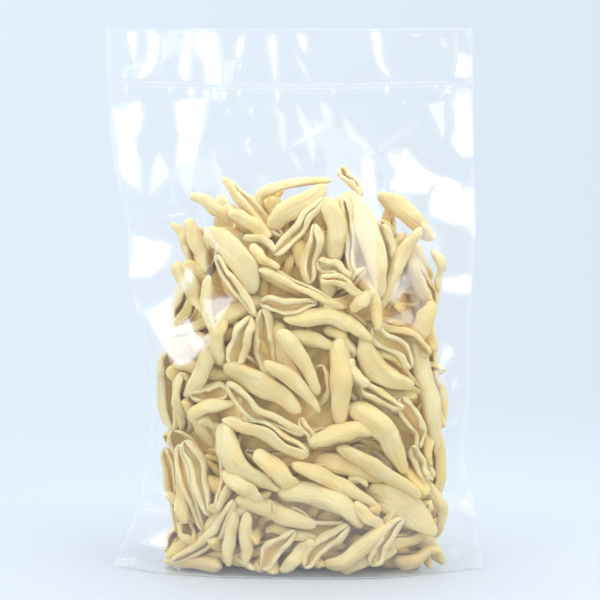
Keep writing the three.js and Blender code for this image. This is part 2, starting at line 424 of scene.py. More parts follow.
for shake in range(SHAKES):
    if shake % LISTED_EVERY == 0:
        apart = np.linalg.norm(middle[:, None] - middle[None], axis=2)
        near = apart < (shells["length"][:, None] + shells["length"][None]) / 2 + NEIGHBOUR_GAP
        one, other = np.nonzero(np.triu(near, 1))
    balls = middle[:, None, None] + np.einsum("nsrk,nkc->nsrc", local, turned)
    cores = balls[:, :, 1]
    shift, spin, touches = np.zeros((count, 3)), np.zeros((count, 3)), np.zeros(count)

    gap = np.linalg.norm(cores[one][:, :, None] - cores[other][:, None], axis=3)
    close = gap < reach[one][:, :, None] + reach[other][:, None]
    pair, s1, s2 = np.nonzero(close)
    # Where two shells touch, each gives way by how easily it shifts and turns there.
    i, j = one[pair], other[pair]
    delta = balls[i, s1][:, :, None] - balls[j, s2][:, None]
    distance = np.linalg.norm(delta, axis=3)
    overlap = (ball_radius[i, s1] + ball_radius[j, s2])[:, None, None] - distance
    m, r1, r2 = np.nonzero(overlap > 0)
    way = delta[m, r1, r2] / np.maximum(distance[m, r1, r2], 1e-9)[:, None]
    i, j, s1, s2 = i[m], j[m], s1[m], s2[m]
    arm_i, arm_j = balls[i, s1, r1] - middle[i], balls[j, s2, r2] - middle[j]
    ease_i = 1 + np.sum(np.cross(arm_i, way) ** 2, axis=1) / inertia[i]
    ease_j = 1 + np.sum(np.cross(arm_j, way) ** 2, axis=1) / inertia[j]
    amount = overlap[m, r1, r2] / (ease_i + ease_j)
    push(i, arm_i, way, amount)
    push(j, arm_j, -way, amount)

    # The film, the sides of the heap and the table.
    x, y, z = np.moveaxis(balls, 3, 0)
    radius = ball_radius[:, :, None] * np.ones(3)
    wall_gap = belly_half_depth(x, np.maximum(z, TABLE_GAP)) - np.abs(y)
    slope_x = belly_half_depth(x + SLOPE_STEP, z) - belly_half_depth(x - SLOPE_STEP, z)
    slope_x /= 2 * SLOPE_STEP
    slope_z = belly_half_depth(x, z + SLOPE_STEP) - belly_half_depth(x, np.maximum(z - SLOPE_STEP, 0))
    slope_z /= 2 * SLOPE_STEP
    steep = np.sqrt(1 + slope_x**2 + slope_z**2)
    sink = radius - wall_gap / steep
    n, s, r = np.nonzero(sink > 0)
    way = np.stack([slope_x, -np.sign(y), slope_z], axis=3)[n, s, r] / steep[n, s, r][:, None]
    push(n, balls[n, s, r] - middle[n], way, np.minimum(sink[n, s, r], DEEPEST_PUSH) * FIRMNESS)
    sink = radius + outside_heap(x, z)
    n, s, r = np.nonzero((sink > 0) & ~is_front[:, None, None])
    inward = np.where(x[n, s, r] < 0, 1.0, -1.0)[:, None] * [1, 0, 0]
    push(n, balls[n, s, r] - middle[n], inward, np.minimum(sink[n, s, r], DEEPEST_PUSH) * FIRMNESS)
    sink = radius + TABLE_GAP - z
    n, s, r = np.nonzero(sink > 0)
    push(n, balls[n, s, r] - middle[n], np.tile([0.0, 0, 1], (len(n), 1)), sink[n, s, r] * FIRMNESS)

    calm = 1 / np.maximum(touches, 1) ** CALMING
    middle += shift * calm[:, None]
    middle[~is_front, 2] -= FALL * (1 - shake / SHAKES)
    hold = FIRM_HOLD if shake < SHAKES * FIRM_SHARE else LOOSE_HOLD
    middle[is_front, 0] += (home - middle)[is_front, 0] * hold
    middle[is_front, 2] += (home - middle)[is_front, 2] * hold
    middle[is_front, 1] -= FORWARD
    spin *= calm[:, None]
    drawn = np.cross(turned, home_frame).sum(axis=1) / 2
    spin[is_front] += drawn[is_front] * hold
    spin = np.clip(spin, -MOST_TURN, MOST_TURN)
    turned += np.cross(spin[:, None], turned)
    turned = frame_of(turned[:, 0], turned[:, 2])

# How deep in the heap each shell lies: 0 near the film, rising to 1 further in. It sets how much amber
# painted shade the shell takes.
BURIED_FROM, BURIED_OVER = 0.007, 0.010
depth_in = belly_half_depth(middle[:, 0], middle[:, 2]) - np.abs(middle[:, 1])
shells["buried"] = np.where(is_front, 0, np.clip((depth_in - BURIED_FROM) / BURIED_OVER, 0, 1))


class Value:
    """A node's output socket. An operator on it adds that operator's Math node to the socket's tree."""

    def __init__(self, socket):
        self.socket = socket

    def math(self, operation, *others):
        sockets = dict(enumerate((self, *others)))
        return add_node(self.socket.id_data, "ShaderNodeMath", {"operation": operation}, sockets)

    def held(self):
        """This value, held between 0 and 1."""
        return self.math("MAXIMUM", 0.0).math("MINIMUM", 1.0)

    def __add__(self, other):
        return self.math("ADD", other)

    def __sub__(self, other):
        return self.math("SUBTRACT", other)

    def __mul__(self, other):
        return self.math("MULTIPLY", other)

    def __truediv__(self, other):
        return self.math("DIVIDE", other)

    def __pow__(self, other):
        return self.math("POWER", other)

    def __rsub__(self, other):
        return self.math("MULTIPLY", -1) + other

    def __neg__(self):
        return self.math("MULTIPLY", -1)

    __radd__ = __add__
    __rmul__ = __mul__


def add_node(tree, kind, settings=None, sockets=None, out=0):
    """Adds a node: first its settings, then the values or links of its sockets. It gives one output."""
    node = tree.nodes.new(kind)
    for name, setting in (settings or {}).items():
        setattr(node, name, setting)
    for name, value in (sockets or {}).items():
        if isinstance(value, Value):
            tree.links.new(value.socket, node.inputs[name])
        elif value is not None:
            node.inputs[name].default_value = value
    return Value(node.outputs[out])


def vector_sum(tree, *vectors):
    """All these vectors added up."""
    total = vectors[0]
    for vector in vectors[1:]:
        total = add_node(tree, "ShaderNodeVectorMath", {"operation": "ADD"}, {0: total, 1: vector})
    return total


def scaled(tree, vector, factor):
    """The vector with its length changed by the factor."""
    return add_node(tree, "ShaderNodeVectorMath", {"operation": "SCALE"}, {0: vector, "Scale": factor})


# The leaf that a rod is dragged out to: how close together its outline runs at the tips, how pointed the
# tips are, how far they close, and how much its width, its curl and its wall vary.
TIPS_CLOSER = 0.965
TIP_BLUNTNESS, MORE_BLUNTNESS = 0.14, 0.24
TIP_CLOSING, UNEVEN_CLOSING = 0.42, 0.3
UNEVEN_TURN = 1.3
FURTHEST_CURL = math.radians(356)
SLOW_WIDTH, QUICK_WIDTH = 0.5, 0.7
UNEVEN_WALL = 0.4
OUTER_WIDTH = 1.10
# What the fingers leave on it: where it is pressed flat, as a share of its radius and turned by how many
# radians from one side to the next, and the dents and pocks to the metre.
PRESS_FROM = 0.62
PRESS_TURN, UNEVEN_PRESS_TURN = 1.9, 2.1
DENTS, POCKS = 130.0, 420.0


def shell_tree():
    """Geometry Nodes that turn each point into one shell, by the sizes and directions that it carries."""
    tree = bpy.data.node_groups.new("dragged shell", "GeometryNodeTree")
    face = tree.interface
    face.new_socket("Geometry", in_out="INPUT", socket_type="NodeSocketGeometry")
    face.new_socket("Geometry", in_out="OUTPUT", socket_type="NodeSocketGeometry")
    inputs = {}
    for name, kind, value in (
        ("Steps Along", "NodeSocketInt", 31),
        ("Steps Around", "NodeSocketInt", 32),
        ("Wall", "NodeSocketFloat", WALL),
        ("Lip Swell", "NodeSocketFloat", 0.75),
        ("Flatness", "NodeSocketFloat", 0.8),
        ("Unevenness", "NodeSocketFloat", 0.0030),
        ("Roughness", "NodeSocketFloat", 0.0006),
        ("Kink", "NodeSocketFloat", 0.009),
        ("Knee", "NodeSocketFloat", 0.0055),
        ("Folds", "NodeSocketFloat", 0.0020),
        ("Pressed", "NodeSocketFloat", 0.78),
        ("Material", "NodeSocketMaterial", None),
    ):
        socket = face.new_socket(name, in_out="INPUT", socket_type=kind)
        if value is not None:
            socket.default_value = value
        inputs[name] = socket.identifier
    group_in = tree.nodes.new("NodeGroupInput")
    given = {socket.name: Value(socket) for socket in group_in.outputs if socket.name}

    def carried(name, kind="FLOAT"):
        """What each point carries under this name."""
        return add_node(tree, "GeometryNodeInputNamedAttribute", {"data_type": kind}, {"Name": name})

    def noise(vector, scale, seed):
        """Three noises at once, each from 0 to 1 and different for each seed."""
        shift = add_node(tree, "ShaderNodeCombineXYZ", None, {0: seed, 1: seed, 2: seed})
        return add_node(tree, "ShaderNodeTexNoise", {"noise_dimensions": "3D"}, {
            "Vector": vector_sum(tree, vector, shift), "Scale": scale, "Detail": 1.0}, out=1)

    def part(vector, axis):
        """The vector's part along this axis."""
        return add_node(tree, "ShaderNodeSeparateXYZ", None, {0: vector}, out=axis)

    def stored(geometry, name, kind, value):
        """The geometry with the value kept on it under this name."""
        settings = {"data_type": kind, "domain": "POINT"}
        sockets = {"Geometry": geometry, "Name": name, "Value": value}
        return add_node(tree, "GeometryNodeStoreNamedAttribute", settings, sockets)

    def over_leaf(along, across):
        """A place on the undragged leaf, stretched this much each way, for noise to read."""
        place = add_node(tree, "ShaderNodeCombineXYZ", None, {1: across})
        return vector_sum(tree, scaled(tree, along_only, along), place)

    blank = add_node(tree, "GeometryNodeMeshCylinder", {"fill_type": "TRIANGLE_FAN"}, {
        "Vertices": given["Steps Around"], "Side Segments": given["Steps Along"], "Radius": 1, "Depth": 2})
    blank = stored(blank, "blank", "FLOAT_VECTOR", add_node(tree, "GeometryNodeInputPosition"))
    placed = add_node(tree, "GeometryNodeInstanceOnPoints", None, {
        "Points": given["Geometry"], "Instance": blank})
    joined = add_node(tree, "GeometryNodeRealizeInstances", None, {"Geometry": placed})

    # Along the shell: from -1 at the first tip to 1 at the second, closer together at the tips.
    flat = carried("blank", "FLOAT_VECTOR")
    run = (part(flat, 2) * (math.pi / 2 * TIPS_CLOSER)).math("SINE")
    side = part(flat, 1)
    # Across the leaf that the dough was dragged to: from one lip, -1, to the other, 1, and back inside.
    turn = part(flat, 0).math("ARCCOSINE")
    leaf = (turn * (2 / math.pi) - 1) * 0.5 - part(flat, 0) * 0.5
    seed = carried("seed")
    along_only = add_node(tree, "ShaderNodeCombineXYZ", None, {0: run})
    slow = noise(along_only, 1.4, seed)
    fast = noise(over_leaf(2.6, leaf), 1.0, seed + 31)
    dome = (1 - run.math("ABSOLUTE") ** 16) ** 0.5
    leaning = run + carried("lean") * (1 - run * run)
    blunt = TIP_BLUNTNESS + (seed * 2.31).math("FRACT") * MORE_BLUNTNESS
    taper = (blunt + (1 - blunt) * (1 - leaning.math("ABSOLUTE") ** carried("full")) ** 0.75) * dome
    taper = taper * (1 - SLOW_WIDTH / 2 + part(slow, 0) * SLOW_WIDTH)
    closing = TIP_CLOSING * run ** 8 + carried("gape") * run + (part(slow, 1) - 0.5) * UNEVEN_CLOSING
    curl = (carried("curl") * (1 + closing)).math("MINIMUM", FURTHEST_CURL)
    angle = leaf * curl / 2 * (1 + (part(fast, 0) - 0.5) * carried("wave") * 3)
    angle = angle + (part(slow, 2) - 0.5) * UNEVEN_TURN
    broad = carried("curl").math("MINIMUM", math.pi) / 2
    plump = noise(over_leaf(0.9, leaf * 1.9), 1.0, seed + 57)
    taper = taper * (1 - QUICK_WIDTH / 2 + part(plump, 0) * QUICK_WIDTH)
    radius = (carried("width") * OUTER_WIDTH - given["Wall"]) / 2 / broad.math("SINE") * taper
    thin = dome * side.math("ABSOLUTE") ** 0.27 * side.math("SIGN")
    half_wall = given["Wall"] / 2 * thin * (1 + given["Lip Swell"] * leaf ** 6)
    half_wall = half_wall * (1 - UNEVEN_WALL / 2 + part(slow, 2) * UNEVEN_WALL)
    sag = (curl / 2).math("MINIMUM", math.pi / 2).math("COSINE")
    # Folded lengthwise by the drag, and pressed flat on three sides by the fingers and the board.
    fold = noise(over_leaf(0.8, leaf * 4.5), 1.0, seed + 73)
    reach = radius + (part(fold, 0) - 0.5) * given["Folds"] * dome
    across = reach * angle.math("SINE")
    raised = reach * angle.math("COSINE")
    for press in range(3):
        facing = (seed * (1.7 + press)).math("FRACT") * UNEVEN_PRESS_TURN
        facing = facing + (press - 1) * PRESS_TURN - UNEVEN_PRESS_TURN / 2
        facing = facing + (part(slow, press) - 0.5) * 1.2
        sine, cosine = facing.math("SINE"), facing.math("COSINE")
        over = (across * sine + raised * cosine - radius * PRESS_FROM).math("MAXIMUM", 0.0)
        over = over * given["Pressed"]
        across, raised = across - over * sine, raised - over * cosine
    across = across + half_wall * angle.math("SINE")
    out = (raised + half_wall * angle.math("COSINE") - radius * sag) * given["Flatness"]
    # Dented and uneven, as fingers leave it.
    half_length = carried("length") / 2
    spot = add_node(tree, "ShaderNodeCombineXYZ", None, {0: half_length * run, 1: across, 2: out})
    stretched = add_node(tree, "ShaderNodeVectorMath", {"operation": "MULTIPLY"}, {
        0: spot, 1: (0.5, 1.0, 1.0)})
    dent = noise(stretched, DENTS, seed)
    pock = noise(stretched, POCKS, seed)
    dent_x, dent_y, dent_z = (
        (part(dent, axis) - 0.5) * given["Unevenness"] + (part(pock, axis) - 0.5) * given["Roughness"]
        for axis in range(3)
    )
    # Twisted about its length, then bowed.
    twist = carried("twist") * run
    sine, cosine = twist.math("SINE"), twist.math("COSINE")
    bow = (CORNER - (run * run + BOW_ROUND**2).math("SQRT")) / (CORNER - BOW_ROUND)
    local_x = half_length * run + dent_x
    drift = noise(along_only, 0.8, seed + 11)
    kink = (1 - run * run) * given["Kink"]
    corner = (seed * 3.17).math("FRACT") * 1.2 - 0.6
    knee = ((1 + run) / (1 + corner)).math("SMOOTH_MIN", (1 - run) / (1 - corner), 0.12) * given["Knee"]
    bend_y = bow * carried("bow_across") + (part(drift, 0) - 0.5) * kink
    bend_y = bend_y + knee * ((seed * 5.37).math("FRACT") - 0.5)
    local_y = across * cosine - out * sine + dent_y + bend_y
    bend_z = bow * carried("bow_out") + (part(drift, 1) - 0.5) * kink
    bend_z = bend_z + knee * ((seed * 9.13).math("FRACT") - 0.5)
    local_z = across * sine + out * cosine + dent_z + bend_z
    place = vector_sum(
        tree,
        carried("middle", "FLOAT_VECTOR"),
        scaled(tree, carried("along", "FLOAT_VECTOR"), local_x),
        scaled(tree, carried("across", "FLOAT_VECTOR"), local_y),
        scaled(tree, carried("outward", "FLOAT_VECTOR"), local_z),
    )
    # What the dough's finish needs: the place along and across the leaf, and how far inside the shell, which
    # sets the amber painted shade in the hollow.
    grain = add_node(tree, "ShaderNodeCombineXYZ", None, {
        0: carried("length") * run, 1: radius * angle, 2: seed})
    inside = (-side).math("MAXIMUM", 0.0) * (1 - leaf ** 4)
    made = joined
    for name, kind, value in (
        ("grain", "FLOAT_VECTOR", grain),
        ("inside", "FLOAT", inside),
        ("lip", "FLOAT", leaf.math("ABSOLUTE") ** 6),
        ("tip", "FLOAT", run.math("ABSOLUTE") ** 12),
        ("tone", "FLOAT", (seed * 7.31).math("FRACT")),
    ):
        made = stored(made, name, kind, value)
    made = add_node(tree, "GeometryNodeSetPosition", None, {"Geometry": made, "Position": place})
    made = add_node(tree, "GeometryNodeFlipFaces", None, {"Mesh": made})
    made = add_node(tree, "GeometryNodeSetShadeSmooth", None, {"Geometry": made, "Shade Smooth": True})
    made = add_node(tree, "GeometryNodeSetMaterial", None, {
        "Geometry": made, "Material": given["Material"]})
    group_out = tree.nodes.new("NodeGroupOutput")
    tree.links.new(made.socket, group_out.inputs[0])
    return tree, inputs


# Dry semolina dough: pale straw yellow, paler on the lips and tips, with faint streaks along the way it was
# dragged and a fine matte grain. Light goes a little way into it. The deeper amber inside the hollows, on
# the shells deep in the heap and on the core is painted shade: the warm glow of light bounced through the
# dough.
DOUGH_PALE = (0.94, 0.825, 0.54)
DOUGH_STRAW = (0.935, 0.76, 0.39)
DOUGH_DEEP = (0.93, 0.69, 0.285)
DOUGH_PAINTED_SHADE = (1.0, 0.71, 0.25)
GRAIN_DEPTH = 0.0009
GLOW_REACH = 0.002
GLOW_COLOUR = (1.0, 0.8, 0.5)
GLOW_SHARE = 0.35


def new_material(name):
    """A material of this name and its tree, which is still empty."""
    material = bpy.data.materials.new(name)
    material.use_nodes = True
    material.node_tree.nodes.clear()
    return material, material.node_tree


def finish_material(tree, shader):
    """Gives the shader to the surface, as the tree's last step."""
    last = tree.nodes.new("ShaderNodeOutputMaterial")
    tree.links.new(shader.socket, last.inputs["Surface"])


def blended(tree, share, first, second):
    """One colour that goes from the first to the second with the share."""
    ends = [end if isinstance(end, Value) else (*end, 1) for end in (first, second)]
    return add_node(tree, "ShaderNodeMix", {"data_type": "RGBA", "clamp_factor": True}, {
        0: share, 6: ends[0], 7: ends[1]}, out=2)


def attribute(tree, name, out=2):
    """The mesh's attribute of this name: output 2 is its number, and 1 its vector."""
    return add_node(tree, "ShaderNodeAttribute", {"attribute_name": name}, None, out)


def texture(tree, place, stretch, detail=2.0):
    """Noise from 0 to 1, with about this many changes to the metre each way."""
    place = add_node(tree, "ShaderNodeVectorMath", {"operation": "MULTIPLY"}, {0: place, 1: stretch})
    return add_node(tree, "ShaderNodeTexNoise", {"noise_dimensions": "3D"}, {
        "Vector": place, "Scale": 1.0, "Detail": detail, "Roughness": 0.6})


dough, paint = new_material("dry semolina dough")
grain = attribute(paint, "grain", out=1)
blotch = texture(paint, grain, (90, 260, 1))
streak = texture(paint, grain, (50, 900, 1))
speck = texture(paint, grain, (2600, 2600, 2600), 1.0)
tone = attribute(paint, "tone")
patch = texture(paint, grain, (45, 45, 1), 1.0)
deep_share = (blotch - 0.5) * 1.8 + (streak - 0.5) * 1.0 + (patch - 0.5) * 2.4 + tone * 0.8
deep_share = deep_share.math("MAXIMUM", 0.0)
colour = blended(paint, deep_share, DOUGH_STRAW, DOUGH_DEEP)
pale_share = attribute(paint, "lip") * 0.55 + attribute(paint, "tip") * 0.5 + (speck - 0.62) * 1.5
colour = blended(paint, pale_share, colour, DOUGH_PALE)
# Painted shade: amber inside the hollows, on the deeper shells and on the core, for light bounced through
# the dough.
painted_shade_share = attribute(paint, "inside") * 0.7 + attribute(paint, "buried") * 0.8
colour = blended(paint, painted_shade_share, colour, DOUGH_PAINTED_SHADE)
relief = add_node(paint, "ShaderNodeBump", None, {
    "Strength": 0.7, "Distance": GRAIN_DEPTH, "Height": speck * 0.5 + streak * 1.8 + blotch * 1.4})
skin = add_node(paint, "ShaderNodeBsdfPrincipled", None, {
    "Base Color": colour, "Roughness": 0.55 + (speck - 0.5) * 0.25, "Normal": relief,
    "Subsurface Weight": GLOW_SHARE, "Subsurface Radius": GLOW_COLOUR, "Subsurface Scale": GLOW_REACH})
finish_material(paint, skin)

tree, tree_inputs = shell_tree()
FILM_UNDER = 0.0004


def make_shells(name, chosen):
    """One mesh of the chosen shells, through the dragged shell nodes."""
    seeds = bpy.data.meshes.new(name)
    seeds.from_pydata(middle[chosen].tolist(), [], [])
    for field, values in shells.items():
        seeds.attributes.new(field, "FLOAT", "POINT").data.foreach_set("value", values[chosen])
    directions = {"middle": middle, "along": turned[:, 0], "across": turned[:, 1], "outward": turned[:, 2]}
    for field, vectors in directions.items():
        made = seeds.attributes.new(field, "FLOAT_VECTOR", "POINT")
        made.data.foreach_set("vector", vectors[chosen].ravel())
    grower = bpy.data.objects.new(name + "_points", seeds)
    bpy.context.collection.objects.link(grower)
    modifier = grower.modifiers.new("shells", "NODES")
    modifier.node_group = tree
    modifier[tree_inputs["Material"]] = dough
    grown = grower.evaluated_get(bpy.context.evaluated_depsgraph_get())
    mesh = bpy.data.meshes.new_from_object(grown)
    corners = np.empty(len(mesh.vertices) * 3)
    mesh.vertices.foreach_get("co", corners)
    corners = corners.reshape(len(chosen), -1, 3)
    corners[..., 2] += np.maximum(TABLE_GAP + FILM_UNDER - corners[..., 2].min(axis=1), 0)[:, None]
    mesh.vertices.foreach_set("co", corners.ravel())
    mesh.update()
    mesh.name = name
    bpy.data.objects.remove(grower)
    piece = bpy.data.objects.new(name, mesh)
    bpy.context.collection.objects.link(piece)
    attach(piece, "root")
    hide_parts("pouch")
    return piece


# The shells are sorted by how far they are curled and then by length, so that no piece grows too large.
by_length = np.argsort(shells["length"])
curl_of = np.degrees(shells["curl"][by_length])
closed = by_length[curl_of >= CLOSED_CURL]
opened = by_length[(curl_of < CLOSED_CURL) & (curl_of >= LEAF_CURL)]
kinds = {"leaf_shells": by_length[curl_of < LEAF_CURL]}
for size, chosen in zip(("short", "middling", "long"), np.array_split(closed, 3)):
    kinds[size + "_closed_shells"] = chosen
for size, chosen in zip(("short", "long"), np.array_split(opened, 2)):
    kinds[size + "_open_shells"] = chosen
shell_pieces = [make_shells(name, chosen) for name, chosen in kinds.items()]


# The middle of the heap, where shells lie behind shells and nothing can be told apart: one lumpy mass of
# the same dough, well in behind the outer layers, which closes the view through the gaps between them. It is
# marked deeper than any shell, so it is coloured all over with the amber painted shade.
CORE_LEFT, CORE_RIGHT, CORE_TOP, CORE_FOOT = -0.060, 0.072, 0.174, 0.008
CORE_SHARE = 0.62
CORE_LUMP = 0.12
LUMPS_ACROSS, LUMPS_UP, LUMPS_SLANT = 420, 390, 90
CORE_PAINTED_SHADE_DEPTH = 1.6
CORE_RINGS, CORE_SPOKES = 40, 72
rise = np.linspace(0, math.pi, CORE_RINGS)[:, None]
round_it = np.linspace(0, 2 * math.pi, CORE_SPOKES, endpoint=False)[None]
core_width, core_height = CORE_RIGHT - CORE_LEFT, CORE_TOP - CORE_FOOT
core_x = (CORE_LEFT + CORE_RIGHT) / 2 + core_width / 2 * np.sin(rise) ** 0.5 * np.cos(round_it)
core_z = (CORE_TOP + CORE_FOOT) / 2 - core_height / 2 * np.cos(rise) + 0 * round_it
core_y = belly_half_depth(core_x, core_z) * CORE_SHARE * np.sin(rise) ** 0.3 * np.sin(round_it)
core_y *= 1 + CORE_LUMP * np.sin(core_x * LUMPS_ACROSS) * np.sin(core_z * LUMPS_UP + core_x * LUMPS_SLANT)
core_points = np.stack([core_x, core_y, core_z], axis=-1).reshape(-1, 3)
last_ring = len(core_points) - CORE_SPOKES
core_faces = [tuple(range(CORE_SPOKES))[::-1], tuple(range(last_ring, len(core_points)))]
for ring in range(CORE_RINGS - 1):
    for spoke in range(CORE_SPOKES):
        start = ring * CORE_SPOKES + spoke
        after = ring * CORE_SPOKES + (spoke + 1) % CORE_SPOKES
        core_faces.append((start, after, after + CORE_SPOKES, start + CORE_SPOKES))
core_mesh = bpy.data.meshes.new("heap_core")
core_mesh.from_pydata(core_points.tolist(), [], core_faces)
core_mesh.shade_smooth()
buried = core_mesh.attributes.new("buried", "FLOAT", "POINT")
buried.data.foreach_set("value", np.full(len(core_points), CORE_PAINTED_SHADE_DEPTH))
grain = core_mesh.attributes.new("grain", "FLOAT_VECTOR", "POINT")
grain.data.foreach_set("vector", core_points.ravel())
core_mesh.materials.append(dough)
core = bpy.data.objects.new("heap_core", core_mesh)
bpy.context.collection.objects.link(core)
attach(core, "root")
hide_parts("pouch")


# The pouch: one clear, crisp film, folded up the sides, welded down both edges and across the top, with a
# flat header left above the cross weld. It is drawn over the shells like a tight skin, and between them it
# buckles into flat facets.
FILM_STEP = 0.00112
FILM_COLUMNS = 179
WELD_STEP = 0.0005
WELD_REACH = 0.004
WELD_SAG = 0.0024
HEADER_TOP = float(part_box("pouch")[1].z)
HEADER_LEAN = 0.16
SEAM_BAND = 0.0045
FILM_GAP = 0.0003
FILM_CLEARANCE = 0.0005
LEFT_SEAM = (
    (0, -0.0985), (0.006, -0.0960), (0.032, -0.0838), (0.065, -0.0780), (0.092, -0.0757), (0.122, -0.0780),
    (0.157, -0.0880), (0.181, -0.0880), (0.197, -0.0905), (0.211, -0.0945), (0.230, -0.0980),
    (0.292, -0.1005),
)
RIGHT_SEAM = (
    (0, 0.1040), (0.029, 0.1000), (0.063, 0.0930), (0.090, 0.0962), (0.154, 0.0970), (0.182, 0.0990),
    (0.230, 0.0975), (0.292, 0.0968),
)

under_weld, over_weld = WELD_HEIGHT - WELD_REACH, WELD_HEIGHT + WELD_REACH
rows = np.concatenate([
    np.linspace(FILM_GAP, under_weld, round(under_weld / FILM_STEP), endpoint=False),
    np.linspace(under_weld, over_weld, round(2 * WELD_REACH / WELD_STEP), endpoint=False),
    np.linspace(over_weld, HEADER_TOP, round((HEADER_TOP - over_weld) / FILM_STEP)),
])
columns = np.linspace(0, 1, FILM_COLUMNS)


def along_seam(points):
    """A seam's place at each row, with its corners rounded off."""
    wanted = np.interp(rows[:, None] + np.linspace(-0.008, 0.008, 9), *zip(*points))
    return wanted.mean(axis=1)


left_edge, right_edge = along_seam(LEFT_SEAM), along_seam(RIGHT_SEAM)
film_x = left_edge[:, None] + (right_edge - left_edge)[:, None] * columns
sag = np.exp(-(((rows - WELD_HEIGHT) / 0.016) ** 2))[:, None] * (1 - (film_x / 0.1) ** 2)
film_z = rows[:, None] - WELD_SAG * sag
step_x = np.diff(film_x, axis=1)
step_z = np.diff(film_z, axis=0)
slide_x = np.diff(film_x, axis=0)


def blurred_map(field, spread):
    """The field averaged over this many cells each way, three times over: close to a Gaussian blur."""
    for _ in range(3):
        for axis in (0, 1):
            edges = [(0, 0), (0, 0)]
            edges[axis] = (spread, spread)
            padded = np.pad(field, edges, mode="edge")
            total = np.cumsum(padded, axis=axis)
            total = np.concatenate([np.zeros_like(np.take(total, [0], axis)), total], axis=axis)
            size = 2 * spread + 1
            field = (np.take(total, range(size, total.shape[axis]), axis)
                     - np.take(total, range(total.shape[axis] - size), axis)) / size
    return field


# Each sweep moves a grid point further than its neighbours ask for, because the film settles sooner so.
OVERSTEP = 1.7


def drawn_film(start, goal, slope_x, slope_z, trust, pull, limit, held, side, sweeps):
    """The film's depth at each grid point, side -1 in front and 1 behind. It follows the wanted slopes,
    each cell as much as it is trusted, is pulled a little towards its goal, and never sinks in under the
    limit."""
    mean_step_x = (step_x[1:] + step_x[:-1]) / 2
    mean_step_z = (step_z[:, 1:] + step_z[:, :-1]) / 2
    wide = trust[:, 1:] * np.pad(mean_step_z, ((0, 1), (0, 0)), mode="edge") / step_x
    tall = trust[1:] * np.pad(mean_step_x, ((0, 0), (0, 1)), mode="edge") / step_z
    rise_x = (slope_x[:, 1:] + slope_x[:, :-1]) / 2 * step_x
    mean_x = (slope_x[1:] + slope_x[:-1]) / 2
    rise_z = (slope_z[1:] + slope_z[:-1]) / 2 * step_z + mean_x * slide_x
    area = np.gradient(film_x, axis=1) * np.gradient(film_z, axis=0) / FILM_STEP**2
    pull = pull * area
    weight = pull + 0 * goal
    weight[:, 1:] += wide
    weight[:, :-1] += wide
    weight[1:] += tall
    weight[:-1] += tall
    fixed_part = pull * goal
    fixed_part[:, 1:] += wide * rise_x
    fixed_part[:, :-1] -= wide * rise_x
    fixed_part[1:] += tall * rise_z
    fixed_part[:-1] -= tall * rise_z
    checker = np.indices(start.shape).sum(axis=0) % 2
    depth = start.copy()
    for sweep in range(sweeps):
        for colour in (0, 1):
            total = fixed_part.copy()
            total[:, 1:] += wide * depth[:, :-1]
            total[:, :-1] += wide * depth[:, 1:]
            total[1:] += tall * depth[:-1]
            total[:-1] += tall * depth[1:]
            moved = depth + OVERSTEP * (total / weight - depth)
            moved = side * np.maximum(side * moved, side * limit)
            depth = np.where((checker == colour) & ~held, moved, depth)
    return depth


# How far the shells reach to the front and to the back under each cell of the film, and where it hangs when
# nothing but its seams and its weld holds it.
SEAM_WAVE, SEAM_WAVES = 0.0012, 55
SEAM_FADE = 0.02
HANG_PULL = 1e-5
HANG_SWEEPS, FRONT_SWEEPS, BACK_SWEEPS = 90, 260, 200
spots = []
for piece in shell_pieces:
    flat_list = np.empty(len(piece.data.vertices) * 3)
    piece.data.vertices.foreach_get("co", flat_list)
    spots.append(flat_list.reshape(-1, 3))
spots = np.concatenate(spots)
row_of = np.clip(np.searchsorted(rows, spots[:, 2]), 1, len(rows) - 1)
row_of -= rows[row_of] - spots[:, 2] > spots[:, 2] - rows[row_of - 1]
column_of = (spots[:, 0] - left_edge[row_of]) / (right_edge - left_edge)[row_of] * (len(columns) - 1)
column_of = np.clip(np.rint(column_of).astype(int), 0, len(columns) - 1)
NOTHING = 1.0
reach_front = np.full(film_x.shape, NOTHING)
reach_back = np.full(film_x.shape, -NOTHING)
np.minimum.at(reach_front, (row_of, column_of), spots[:, 1])
np.maximum.at(reach_back, (row_of, column_of), spots[:, 1])
for _ in range(2):
    for axis in (0, 1):
        for way in (-1, 1):
            moved = np.roll(reach_front, way, axis)
            reach_front = np.minimum(reach_front, moved)
            moved = np.roll(reach_back, way, axis)
            reach_back = np.maximum(reach_back, moved)
in_header = film_z > WELD_HEIGHT
reach_front = np.where(in_header, NOTHING, reach_front - FILM_CLEARANCE)
reach_back = np.where(in_header, -NOTHING, reach_back + FILM_CLEARANCE)
from_edge = np.minimum(film_x - left_edge[:, None], right_edge[:, None] - film_x)
in_seam = from_edge < SEAM_BAND / 2
header_plane = HEADER_LEAN * np.maximum(film_z - WELD_HEIGHT, 0)
seam_wave = SEAM_WAVE * np.sin(film_z * SEAM_WAVES + np.where(film_x < 0, 0.4, 2.1))
seam_wave *= np.minimum(film_z / SEAM_FADE, 1)
flat_slope = np.zeros_like(film_x)
ones = np.ones_like(film_x)
rest = np.where(in_header, header_plane, seam_wave * np.clip(1 - from_edge / SEAM_FADE, 0, 1))
held = in_header | in_seam
skins = {}
for side, reached in ((-1, reach_front), (1, reach_back)):
    full = np.where(held, rest, side * belly_half_depth(film_x, film_z))
    skins[side] = drawn_film(
        full, rest, flat_slope, flat_slope, ones, HANG_PULL, reached, held, side, HANG_SWEEPS)
